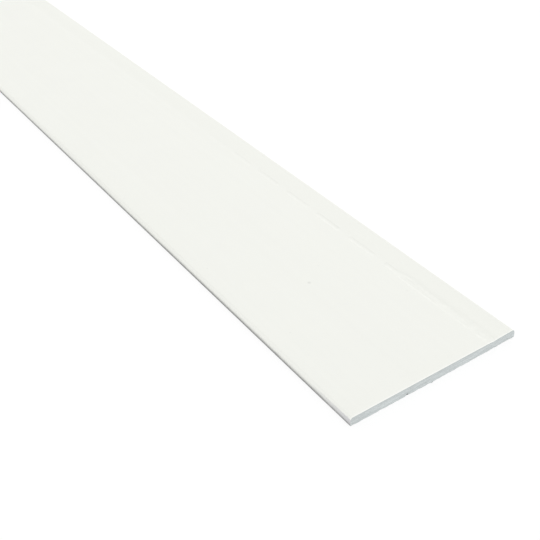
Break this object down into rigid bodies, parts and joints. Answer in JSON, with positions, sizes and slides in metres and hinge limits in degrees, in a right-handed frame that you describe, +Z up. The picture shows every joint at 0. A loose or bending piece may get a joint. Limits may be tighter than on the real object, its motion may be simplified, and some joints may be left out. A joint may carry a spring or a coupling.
{
  "type": "fiber cement lap siding plank",
  "caption": "Long flat fiber cement lap siding plank with a smooth primed face, eased long edges, a shallow nail line beside the upper edge and square cut ends.",
  "frame": {"origin": "middle of the plank's back, on the floor that it lies on", "axes": "+X along the plank, +Y across it from the lower (drip) edge to the upper (nailing) edge, +Z up through its thickness, out of the primed face"},
  "size_m": [3.6576, 0.1588, 0.0079],
  "materials": {
    "primed_fiber_cement": "matte"
  },
  "bodies": {
    "root": {"siding_plank": "primed_fiber_cement"}
  },
  "joints": []
}
